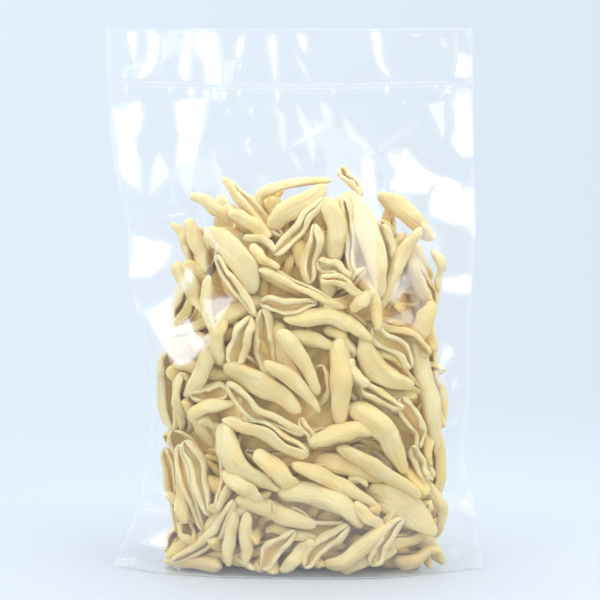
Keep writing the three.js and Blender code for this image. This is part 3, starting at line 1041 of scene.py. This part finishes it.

# The white patches that the film shows where a facet lies so that it mirrors a light: how strongly it
# shines, which light it mirrors, -1 the left or 1 the right, and its corners in photograph pixels. How
# strongly it shines also sets a painted highlight: a white diffuse share mixed into the facet.
FACETS = (
    # the header
    (0.5, -1, (125, 33), (138, 33), (137, 65), (135, 65), (130, 48)),
    (0.6, 1, (147, 33), (162, 32), (159, 61), (151, 73), (136, 80), (134, 74), (145, 61)),
    (0.9, -1, (187, 31), (193, 33), (192, 54), (191, 82), (177, 74), (180, 57)),
    (1.0, 1, (192, 33), (220, 33), (223, 84), (205, 84), (203, 64), (193, 50)),
    (0.7, -1, (237, 36), (247, 36), (242, 56), (234, 58)),
    (0.4, 1, (237, 60), (245, 60), (240, 76), (239, 83), (236, 83)),
    (0.8, -1, (265, 34), (276, 34), (279, 65), (278, 83), (274, 83), (271, 65)),
    (0.65, 1, (294, 34), (309, 34), (307, 54), (303, 54)),
    (0.55, 1, (370, 33), (383, 33), (383, 52), (385, 66), (391, 70), (389, 81), (377, 66), (373, 52)),
    (0.8, 1, (457, 53), (473, 53), (473, 78), (453, 77), (456, 69)),
    # the upper left
    (0.9, -1, (112, 105), (122, 101), (140, 100), (143, 108), (144, 118), (140, 132), (136, 140), (119, 147),
     (113, 141)),
    (0.9, -1, (115, 153), (119, 147), (136, 140), (137, 150), (141, 166), (143, 196), (133, 187), (125, 179),
     (117, 170)),
    (0.5, -1, (157, 153), (167, 167), (167, 178), (159, 185), (151, 193), (153, 172)),
    (0.95, -1, (173, 101), (193, 98), (207, 101), (206, 124), (199, 145), (193, 167), (183, 163), (176, 167),
     (179, 135)),
    (0.3, -1, (179, 172), (183, 163), (193, 166), (192, 192), (186, 193), (181, 184)),
    # the upper right
    (0.5, 1, (427, 105), (437, 104), (447, 97), (445, 118), (445, 132), (442, 138), (438, 126), (429, 111)),
    (0.85, 1, (457, 87), (473, 87), (474, 157), (461, 157), (457, 153), (451, 142), (455, 126), (452, 105)),
    (0.55, 1, (444, 83), (451, 83), (452, 97), (447, 97)),
    (0.8, 1, (386, 153), (401, 157), (405, 146), (417, 161), (431, 173), (441, 177), (427, 193), (397, 191),
     (389, 188), (398, 173)),
    (0.85, 1, (431, 194), (441, 177), (453, 178), (462, 189), (463, 225), (447, 222), (428, 214)),
    (0.6, 1, (463, 188), (476, 188), (476, 243), (468, 231), (463, 226)),
    (0.8, 1, (441, 276), (457, 275), (471, 274), (471, 294), (458, 296), (451, 292), (441, 290)),
    # over the pasta at the right
    (0.5, 1, (361, 162), (369, 152), (374, 166), (378, 193), (362, 193)),
    (0.4, 1, (355, 196), (378, 193), (382, 215), (376, 240), (379, 298), (366, 285), (357, 277), (345, 254),
     (353, 220)),
    (0.6, 1, (424, 220), (438, 232), (437, 254), (429, 258), (426, 269), (411, 286), (398, 301), (390, 306),
     (396, 281), (409, 267), (415, 250)),
    (0.4, 1, (409, 289), (426, 269), (427, 316), (423, 321), (415, 316)),
    (0.4, 1, (373, 328), (386, 320), (409, 307), (415, 316), (426, 329), (427, 338), (413, 327), (396, 322)),
    # the right edge
    (0.75, 1, (443, 340), (453, 347), (455, 357), (447, 362), (442, 383), (437, 385), (437, 362)),
    (0.7, 1, (451, 377), (458, 377), (457, 384), (453, 395), (451, 390)),
    (0.6, 1, (449, 419), (456, 419), (455, 427), (450, 423)),
    (0.6, 1, (439, 486), (447, 482), (451, 484), (446, 487)),
    (0.85, 1, (440, 487), (450, 493), (457, 498), (467, 498), (478, 519), (466, 512), (450, 499)),
    (0.6, 1, (447, 548), (454, 547), (461, 555), (459, 560), (452, 555)),
    # the left side, over the pasta and beside it
    (0.85, -1, (135, 237), (151, 239), (172, 242), (171, 254), (166, 264), (146, 279), (129, 279),
     (133, 258)),
    (0.9, -1, (144, 311), (164, 301), (175, 293), (180, 286), (186, 268), (192, 267), (193, 280), (188, 288),
     (177, 295), (174, 311), (176, 329), (163, 334), (150, 318)),
    (1.0, -1, (150, 318), (176, 329), (189, 316), (194, 329), (198, 335), (212, 338), (202, 350), (191, 362),
     (179, 365), (166, 350)),
    (0.7, -1, (204, 298), (238, 296), (226, 311), (218, 322), (214, 330), (211, 321), (207, 311)),
    (0.5, -1, (207, 270), (213, 270), (201, 290)),
    (0.5, -1, (160, 489), (166, 490), (171, 501), (164, 498)),
    (0.85, -1, (140, 540), (156, 533), (180, 521), (171, 530), (167, 549), (157, 546)),
)
FACET_TRUST = 30
SKIN_PULL = 0.006
SEAM_PULL = 0.03
PLAIN_GLOSS, SEAM_GLOSS, WELD_GLOSS, BRIGHT_GLOSS = 0.16, 0.12, 0.08, 0.35
WELD_BAND = 0.003

# How white the film is: cloudy a little all over and more along its seams and its weld, with painted
# reflection over its foot and along its bottom fold, and painted highlights along its creases, partly real
# whitening of creased film. For each crease: how strongly, how wide in pixels, and along which photograph
# pixels.
SEAM_HAZE, WELD_HAZE, FOOT_PAINTED_REFLECTION, FOLD_PAINTED_REFLECTION, PLAIN_HAZE = 0.08, 0.11, 0.07, 0.12, 0.02
WELD_HALF = 0.0011
FOOT_TOP, FOOT_FADE, FOOT_INSET = 0.050, 0.012, 0.03
FOLD_TOP, FOLD_FADE = 0.006, 0.004
PAINTED_CREASE_HIGHLIGHTS = (
    # under the weld
    (0.6, 2.2, (125, 84), (127, 97)), (0.5, 2.2, (170, 86), (170, 94)), (0.7, 4.0, (191, 87), (191, 97)),
    (0.5, 1.8, (204, 88), (206, 99)), (0.5, 2.0, (214, 88), (216, 100)), (0.5, 2.0, (223, 89), (225, 101)),
    (0.4, 1.4, (239, 88), (240, 100)), (0.6, 1.8, (277, 88), (278, 103)), (0.3, 1.6, (334, 88), (334, 96)),
    (0.5, 1.8, (387, 83), (387, 94)), (0.4, 1.5, (402, 100), (404, 104)), (0.3, 1.5, (436, 83), (435, 92)),
    (0.3, 1.6, (228, 107), (228, 115)), (0.3, 1.8, (251, 107), (251, 116)),
    # the header
    (0.45, 1.8, (293, 50), (303, 67), (309, 81)), (0.35, 1.2, (408, 34), (423, 36)),
    (0.4, 2.0, (441, 37), (447, 50)), (0.25, 1.2, (456, 33), (456, 68)),
    # between the weld and the heap
    (0.26, 4.2, (272, 103), (281, 118), (283, 140), (286, 156)), (0.28, 2.0, (245, 146), (251, 136)),
    (0.28, 2.0, (246, 144), (252, 156)), (0.34, 4.0, (295, 101), (306, 128), (312, 145), (313, 166)),
    (0.32, 5.0, (321, 100), (326, 112), (331, 130)), (0.34, 3.2, (335, 119), (314, 131), (289, 149)),
    (0.20, 3.0, (288, 147), (294, 157), (302, 173)), (0.36, 4.0, (342, 115), (352, 134), (377, 156)),
    (0.12, 5.0, (372, 154), (427, 115)), (0.26, 4.6, (213, 158), (222, 182), (233, 222)),
    (0.10, 9.0, (250, 176), (262, 182), (285, 188)), (0.30, 1.6, (384, 181), (384, 196)),
    # the edges of facets at the left
    (0.55, 1.2, (160, 217), (188, 213)),
    (0.45, 1.2, (189, 221), (208, 232), (217, 246), (214, 260), (207, 270)),
    (0.5, 1.2, (138, 510), (175, 511)), (0.35, 1.2, (143, 503), (157, 507)),
    (0.4, 1.8, (162, 490), (170, 500)), (0.5, 1.2, (114, 559), (139, 559)),
    (0.4, 1.2, (113, 563), (152, 562)), (0.3, 1.2, (164, 567), (175, 567)),
    # the edges of facets at the right
    (0.4, 1.2, (438, 233), (438, 260)), (0.4, 1.6, (438, 101), (448, 88), (457, 84)),
    (0.35, 1.4, (453, 387), (452, 395)), (0.35, 1.4, (439, 488), (450, 484)),
)
FACET_PULL = 0.05
FACET_PAINTED_GLARE = 0.38
HIGHEST_LIFT = 0.011
BUCKLES = 150
BUCKLE_TILT = 0.07
BUCKLE_STRETCH = 0.7
GLARE_MARGIN = 0.09
SLOPE_BLUR = 2
FRONT_SEED, BACK_SEED = 5, 6
LIGHT_HEIGHTS = np.linspace(-0.75, 0.75, 7)
HEADER_GAPE, HEADER_GAPE_RISE, HEADER_WAVES = 0.0022, 0.03, 90


def photo_pixels(x, y, z):
    """Where in the photograph the camera sees these points."""
    offset = np.stack([x, y, z], axis=-1) - eye
    away = offset @ -towards_camera
    across = offset @ camera_right / away * CAMERA_DISTANCE
    up = offset @ camera_up / away * CAMERA_DISTANCE
    return PHOTO_SIDE / 2 + across * PIXELS_PER_METRE, PHOTO_SIDE / 2 - up * PIXELS_PER_METRE


def inside_outline(pixel_x, pixel_y, corners):
    """Which of these pixels lie inside the corners' outline."""
    inside = np.zeros(pixel_x.shape, bool)
    for (x1, y1), (x2, y2) in zip(corners, corners[1:] + corners[:1]):
        if y1 != y2:
            crossing = x1 + (pixel_y - y1) * (x2 - x1) / (y2 - y1)
            inside ^= ((y1 > pixel_y) != (y2 > pixel_y)) & (pixel_x < crossing)
    return inside


def slopes_of(depth):
    """The film's slope across and upwards at each grid point."""
    across = np.gradient(depth, axis=1) / np.gradient(film_x, axis=1)
    upward = np.gradient(depth, axis=0) - across * np.gradient(film_x, axis=0)
    return across, upward / np.gradient(film_z, axis=0)


def facet_tilts(seed):
    """Random flat facets over the film: each grid point has the tilt across and upwards of the nearest."""
    chance = np.random.default_rng(seed)
    across = film_x[..., None] - chance.uniform(-0.1, 0.1, BUCKLES)
    upward = film_z[..., None] - chance.uniform(0, HEADER_TOP, BUCKLES)
    tilts = chance.normal(0, BUCKLE_TILT, (BUCKLES, 2))
    nearest = np.argmin(across**2 + (BUCKLE_STRETCH * upward) ** 2, axis=-1)
    return tilts[nearest, 0], tilts[nearest, 1]


def mirroring_slopes(points, light_side, sideways, upwards):
    """The slopes with which the film at these points mirrors one spot of a softbox to the camera. The spot
    is given as shares of the softbox's half width and half height."""
    holder = softboxes[light_side]
    turned_box = np.array(holder.rotation_euler.to_matrix())
    spot = np.array(holder.location) + turned_box[:, 0] * sideways * SOFTBOX_SIZE[0] / 2
    spot = spot + turned_box[:, 1] * upwards * SOFTBOX_SIZE[1] / 2
    halfway = unit(unit(eye - points) + unit(spot - points))
    return halfway[..., 0] / -halfway[..., 1], halfway[..., 2] / -halfway[..., 1]


front_x, front_z = slopes_of(blurred_map(skins[-1], SLOPE_BLUR))
tilt_x, tilt_z = facet_tilts(FRONT_SEED)
front_x, front_z = front_x + tilt_x, front_z + tilt_z
skin_points = np.stack([film_x, skins[-1], film_z], axis=-1)
# A random facet that would mirror a light where the photograph shows no glare is tilted out of its way.
for light_side in (-1, 1):
    inner, low = mirroring_slopes(skin_points, light_side, -light_side, -1)
    outer, high = mirroring_slopes(skin_points, light_side, light_side, 1)
    bounds_x = np.sort(np.stack([inner, outer]), axis=0)
    least, most = bounds_x[0] - GLARE_MARGIN, bounds_x[1] + GLARE_MARGIN
    caught = (front_x > least) & (front_x < most)
    caught &= (front_z > low - GLARE_MARGIN) & (front_z < high + GLARE_MARGIN)
    front_x = np.where(caught, np.where(front_x < (least + most) / 2, least, most), front_x)
trust = ones.copy()
gloss_share = PLAIN_GLOSS * ones
painted_glare = 0 * ones
pull = SKIN_PULL * ones
front_rest = np.where(in_header, header_plane, skins[-1])
seen_x, seen_y = photo_pixels(film_x, skins[-1], film_z)
# Each white patch is one flat facet that mirrors its light, moved forward until it clears the shells.
for strength, light_side, *corners in FACETS:
    chosen = inside_outline(seen_x, seen_y, corners)
    spots = skin_points[chosen]
    options = [mirroring_slopes(spots, light_side, 0, up) for up in LIGHT_HEIGHTS]
    wanted = front_z[chosen].mean()
    facet_x, facet_z = min(options, key=lambda option: abs(option[1].mean() - wanted))
    across, upward = film_x[chosen], film_z[chosen]
    plane = facet_x.mean() * (across - across.mean()) + facet_z.mean() * (upward - upward.mean())
    plane += front_rest[chosen].mean()
    lift = np.clip((plane - reach_front[chosen]).max(), 0, HIGHEST_LIFT)
    front_rest[chosen] = plane - lift
    front_x[chosen], front_z[chosen] = facet_x, facet_z
    trust[chosen] = FACET_TRUST
    pull[chosen] = FACET_PULL
    gloss_share[chosen] = strength
    # Painted highlight: a white diffuse share that whitens the facet's glare.
    painted_glare[chosen] = FACET_PAINTED_GLARE * strength
pull[in_seam] = SEAM_PULL
nowhere = np.zeros(film_x.shape, bool)
front = drawn_film(
    front_rest, front_rest, front_x, front_z, trust, pull, reach_front, nowhere, -1, FRONT_SWEEPS)

# The back buckles too, and the two films of the header gape a little towards their free edge.
tilt_x, tilt_z = facet_tilts(BACK_SEED)
back_x, back_z = slopes_of(blurred_map(skins[1], SLOPE_BLUR))
back_x, back_z = back_x + tilt_x, back_z + tilt_z
header_gape = HEADER_GAPE * np.clip((film_z - over_weld) / HEADER_GAPE_RISE, 0, 1) ** 2
header_gape *= 0.5 + 0.5 * np.sin(film_x * HEADER_WAVES)
back_rest = np.where(in_header, front + FILM_GAP + header_gape, skins[1])
back_rest = np.where(in_seam, front, back_rest)
back = drawn_film(
    back_rest, back_rest, back_x, back_z, ones, SKIN_PULL, reach_back, held, 1, BACK_SWEEPS)
crossed = np.maximum(front + FILM_GAP - back, 0)
front -= crossed / 2
back += crossed / 2

# The front and the back are one closed skin: joined at the side seams, along the top edge and by the flat
# bottom that stands on the table.
film_rows, film_columns = film_x.shape
points = np.concatenate([
    np.stack([film_x, front, film_z], axis=-1).reshape(-1, 3),
    np.stack([film_x, back, film_z], axis=-1).reshape(-1, 3),
])
back_start = film_rows * film_columns
faces = []
for row in range(film_rows - 1):
    at = row * film_columns
    for column in range(film_columns - 1):
        a = at + column
        faces.append((a, a + 1, a + 1 + film_columns, a + film_columns))
        b = back_start + a
        faces.append((b + 1, b, b + film_columns, b + 1 + film_columns))
    for edge, turned_over in ((at, False), (at + film_columns - 1, True)):
        quad = (edge, edge + film_columns, back_start + edge + film_columns, back_start + edge)
        faces.append(quad[::-1] if turned_over else quad)
top = (film_rows - 1) * film_columns
for column in range(film_columns - 1):
    a = top + column
    faces.append((a, a + 1, back_start + a + 1, back_start + a))
BOTTOM_STEPS = 16
first_bottom = len(points)
between = np.linspace(0, 1, BOTTOM_STEPS + 1)[1:-1, None, None]
bottom = points[:film_columns] * (1 - between) + points[back_start:back_start + film_columns] * between
points = np.concatenate([points, bottom.reshape(-1, 3)])
strip_starts = [0, *(first_bottom + n * film_columns for n in range(BOTTOM_STEPS - 1)), back_start]
strips = [start + np.arange(film_columns) for start in strip_starts]
for near_strip, far_strip in zip(strips, strips[1:]):
    for column in range(film_columns - 1):
        near_side = near_strip[column + 1], near_strip[column]
        faces.append((*near_side, far_strip[column], far_strip[column + 1]))
sheet = bpy.data.meshes.new("film")
sheet.from_pydata(points.tolist(), [], [tuple(int(v) for v in face) for face in faces])
sheet.shade_smooth()

# Where the film is cloudy and scatters light: a little all over, and more along its seams and its weld.
# Over its foot and along its bottom fold it is whiter with painted reflection, and it is most white along
# creases and at facets, with painted highlights there, partly real whitening where the film is creased.
haze_map = SEAM_HAZE * np.clip(1 - from_edge / SEAM_BAND, 0, 1) + PLAIN_HAZE
for edge in (-WELD_HALF, WELD_HALF):
    haze_map += WELD_HAZE * np.exp(-(((rows[:, None] - WELD_HEIGHT - edge) / WELD_STEP) ** 2))
low_down = np.clip((FOOT_TOP - rows[:, None]) / FOOT_FADE, 0, 1)
# Painted reflection: whiter over the foot and along the bottom fold.
front_milk_and_glare = haze_map + FOOT_PAINTED_REFLECTION * low_down * np.clip(from_edge / FOOT_INSET, 0, 1)
front_milk_and_glare += FOLD_PAINTED_REFLECTION * np.clip((FOLD_TOP - rows[:, None]) / FOLD_FADE, 0, 1)
front_milk_and_glare = np.maximum(front_milk_and_glare, blurred_map(painted_glare, 1))
seen_x, seen_y = photo_pixels(film_x, front, film_z)
# Painted highlights: white lines along the creases, partly real whitening of creased film.
for strength, width, *corners in PAINTED_CREASE_HIGHLIGHTS:
    lengths = [math.dist(start, end) for start, end in zip(corners, corners[1:])]
    passed = 0
    for (x1, y1), (x2, y2), length in zip(corners, corners[1:], lengths):
        share = ((seen_x - x1) * (x2 - x1) + (seen_y - y1) * (y2 - y1)) / length**2
        share = np.clip(share, 0, 1)
        apart = np.hypot(seen_x - x1 - share * (x2 - x1), seen_y - y1 - share * (y2 - y1))
        run = (passed + share * length) / sum(lengths)
        swell = np.clip(4 * run * (1 - run), 0.12, 1) ** 0.6
        front_milk_and_glare = np.maximum(front_milk_and_glare, strength * swell * np.exp(-((apart / (width * swell)) ** 2)))
        passed += length
under = len(points) - 2 * back_start
# The white diffuse share: the film's real cloudiness, with painted highlights and painted reflection on the
# front.
milk_and_glare = np.concatenate([front_milk_and_glare.ravel(), haze_map.ravel(), np.full(under, PLAIN_HAZE)])
sheet.attributes.new("milk_and_glare", "FLOAT", "POINT").data.foreach_set("value", np.clip(milk_and_glare, 0, 1))
gloss_share[np.abs(rows - WELD_HEIGHT) < WELD_BAND] = WELD_GLOSS
gloss_share[in_seam & (gloss_share < BRIGHT_GLOSS)] = SEAM_GLOSS
gloss_share = np.pad(gloss_share.ravel(), (0, len(points) - back_start), constant_values=PLAIN_GLOSS)
sheet.attributes.new("gloss", "FLOAT", "POINT").data.foreach_set("value", gloss_share)
film = bpy.data.objects.new("film", sheet)
bpy.context.collection.objects.link(film)
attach(film, "root")
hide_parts("pouch")

FILM_CLEAR = (0.997, 0.997, 0.995)
# The white of the film's real cloudiness, also used for its painted highlights and painted reflection.
FILM_MILK_AND_GLARE = (0.96, 0.94, 0.92)
STRAIGHT_GLOSS = 0.18
CRINKLE_DEPTH = 0.0006
clear_film, gloss = new_material("clear film")
through = add_node(gloss, "ShaderNodeBsdfTransparent", None, {"Color": (*FILM_CLEAR, 1)})
crinkle = texture(gloss, add_node(gloss, "ShaderNodeTexCoord", out=3), (260, 260, 260))
relief = add_node(gloss, "ShaderNodeBump", None, {
    "Strength": 0.12, "Distance": CRINKLE_DEPTH, "Height": crinkle})
mirror = add_node(gloss, "ShaderNodeBsdfGlossy", None, {
    "Color": (1, 1, 1, 1), "Roughness": 0.06, "Normal": relief})
slant = add_node(gloss, "ShaderNodeLayerWeight", None, {"Blend": 0.5, "Normal": relief}, out=1)
share = STRAIGHT_GLOSS * attribute(gloss, "gloss") + (1 - STRAIGHT_GLOSS) * slant.math("POWER", 5.0)
# A white diffuse part: the film's real cloudiness, and the painted highlights and painted reflection on its
# front.
milk_and_glare_shader = add_node(gloss, "ShaderNodeBsdfDiffuse", None, {"Color": (*FILM_MILK_AND_GLARE, 1)})
body = add_node(gloss, "ShaderNodeMixShader", None, {0: share, 1: through, 2: mirror})
body = add_node(gloss, "ShaderNodeMixShader", None, {0: attribute(gloss, "milk_and_glare"), 1: body, 2: milk_and_glare_shader})
finish_material(gloss, body)
sheet.materials.append(clear_film)


# The pale table and the air: a matte ground, darker close by with painted shade round the pouch, that
# melts into the pale background further off, and soft light from all round, weaker from the front and
# stronger from above and from the sides.
TABLE_RADIUS = 12
TABLE_SIDES = 64
FADE_FROM, FADE_OVER = 0.25, 0.75
NEAR_FROM, NEAR_OVER = 0.03, 0.22
# Painted shade: the table's colour is darker close to the pouch.
TABLE_NEAR_SHADED = (0.505, 0.505, 0.52)
TABLE_FAR = (0.525, 0.545, 0.56)
table = bpy.data.objects.new("table", bpy.data.meshes.new("table"))
round_it = np.linspace(0, 2 * math.pi, TABLE_SIDES, endpoint=False)
rim = [(TABLE_RADIUS * math.cos(angle), TABLE_RADIUS * math.sin(angle), 0) for angle in round_it]
table.data.from_pydata(rim, [], [tuple(range(TABLE_SIDES))])
bpy.context.collection.objects.link(table)
pale_table, ground = new_material("pale table")
place = add_node(ground, "ShaderNodeTexCoord", out=3)
away = add_node(ground, "ShaderNodeVectorMath", {"operation": "LENGTH"}, {0: place}, out=1)
fade = ((away - FADE_FROM) / FADE_OVER).held()
far_share = ((away - NEAR_FROM) / NEAR_OVER).held()
matte = add_node(ground, "ShaderNodeBsdfPrincipled", None, {
    "Base Color": blended(ground, far_share, TABLE_NEAR_SHADED, TABLE_FAR), "Roughness": 0.6})
clear = add_node(ground, "ShaderNodeBsdfTransparent")
finish_material(ground, add_node(ground, "ShaderNodeMixShader", None, {
    0: fade * fade * (3 - 2 * fade), 1: matte, 2: clear}))
table.data.materials.append(pale_table)

AIR = (0.77, 0.865, 0.97)
FRONT_DIM = 0.98
SIDE_GLOW = 0.8
TOP_GLOW = 4.2
GLOW_FROM = 0.35
RIGHT_DIM, MOST_RIGHT_DIM = 0.25, 0.03
air = bpy.data.worlds.new("air")
air.use_nodes = True
sky = air.node_tree
way = add_node(sky, "ShaderNodeTexCoord", out=0)
rightwards, backwards, upwards = (
    add_node(sky, "ShaderNodeSeparateXYZ", None, {0: way}, out=axis) for axis in range(3)
)
behind = (backwards * 0.75 + 0.5).held()
strength = FRONT_DIM + (1 - FRONT_DIM) * behind * behind * (3 - 2 * behind)
strength = strength * 0.97 - (rightwards * RIGHT_DIM).math("MINIMUM", MOST_RIGHT_DIM)
strength = strength + SIDE_GLOW * (rightwards.math("ABSOLUTE") - GLOW_FROM).math("MAXIMUM", 0.0) ** 2
strength = strength + TOP_GLOW * (upwards - GLOW_FROM).math("MAXIMUM", 0.0) ** 2
sky_light = sky.nodes["Background"]
sky_light.inputs["Color"].default_value = (*AIR, 1)
sky.links.new(strength.socket, sky_light.inputs["Strength"])
bpy.context.scene.world = air
